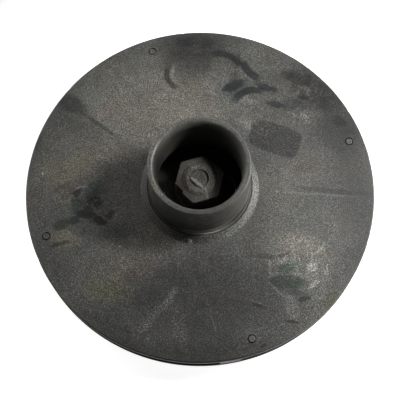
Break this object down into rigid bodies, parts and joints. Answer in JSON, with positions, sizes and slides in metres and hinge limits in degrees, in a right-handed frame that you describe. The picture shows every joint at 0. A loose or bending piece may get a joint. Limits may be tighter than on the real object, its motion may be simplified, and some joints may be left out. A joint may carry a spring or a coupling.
{
  "type": "closed pump impeller",
  "caption": "Closed centrifugal pump impeller in dark moulded plastic: coned front shroud with a suction neck, backward-curved vanes, flat back shroud and a hexagon hub in the eye.",
  "frame": {"origin": "centre of the hub's rear face, on the shaft axis", "axes": "+Z along the shaft axis towards the eye; +X is right and +Y is away in the picture"},
  "size_m": [0.15, 0.15, 0.0446],
  "materials": {
    "front_shroud": "matte glass-filled moulding, scuffed and stained",
    "eye_ring": "smooth satin, rubbed by the wear ring",
    "back_shroud": "matte glass-filled moulding",
    "vane": "matte glass-filled moulding",
    "stake_pin": "matte, melted flush",
    "hub_sleeve": "matte moulding",
    "hex_boss": "matte, worn and pitted",
    "centre_plug": "matte, rough broken face",
    "shaft_insert": "turned, dull"
  },
  "bodies": {
    "root": {"front_shroud": "front_shroud", "eye_ring": "eye_ring", "back_shroud": "back_shroud", "vane_1": "vane", "vane_2": "vane", "vane_3": "vane", "vane_4": "vane", "stake_pin_1": "stake_pin", "stake_pin_2": "stake_pin", "stake_pin_3": "stake_pin", "stake_pin_4": "stake_pin", "hub_sleeve": "hub_sleeve", "hex_boss": "hex_boss", "centre_plug": "centre_plug", "shaft_insert": "shaft_insert"}
  },
  "joints": []
}
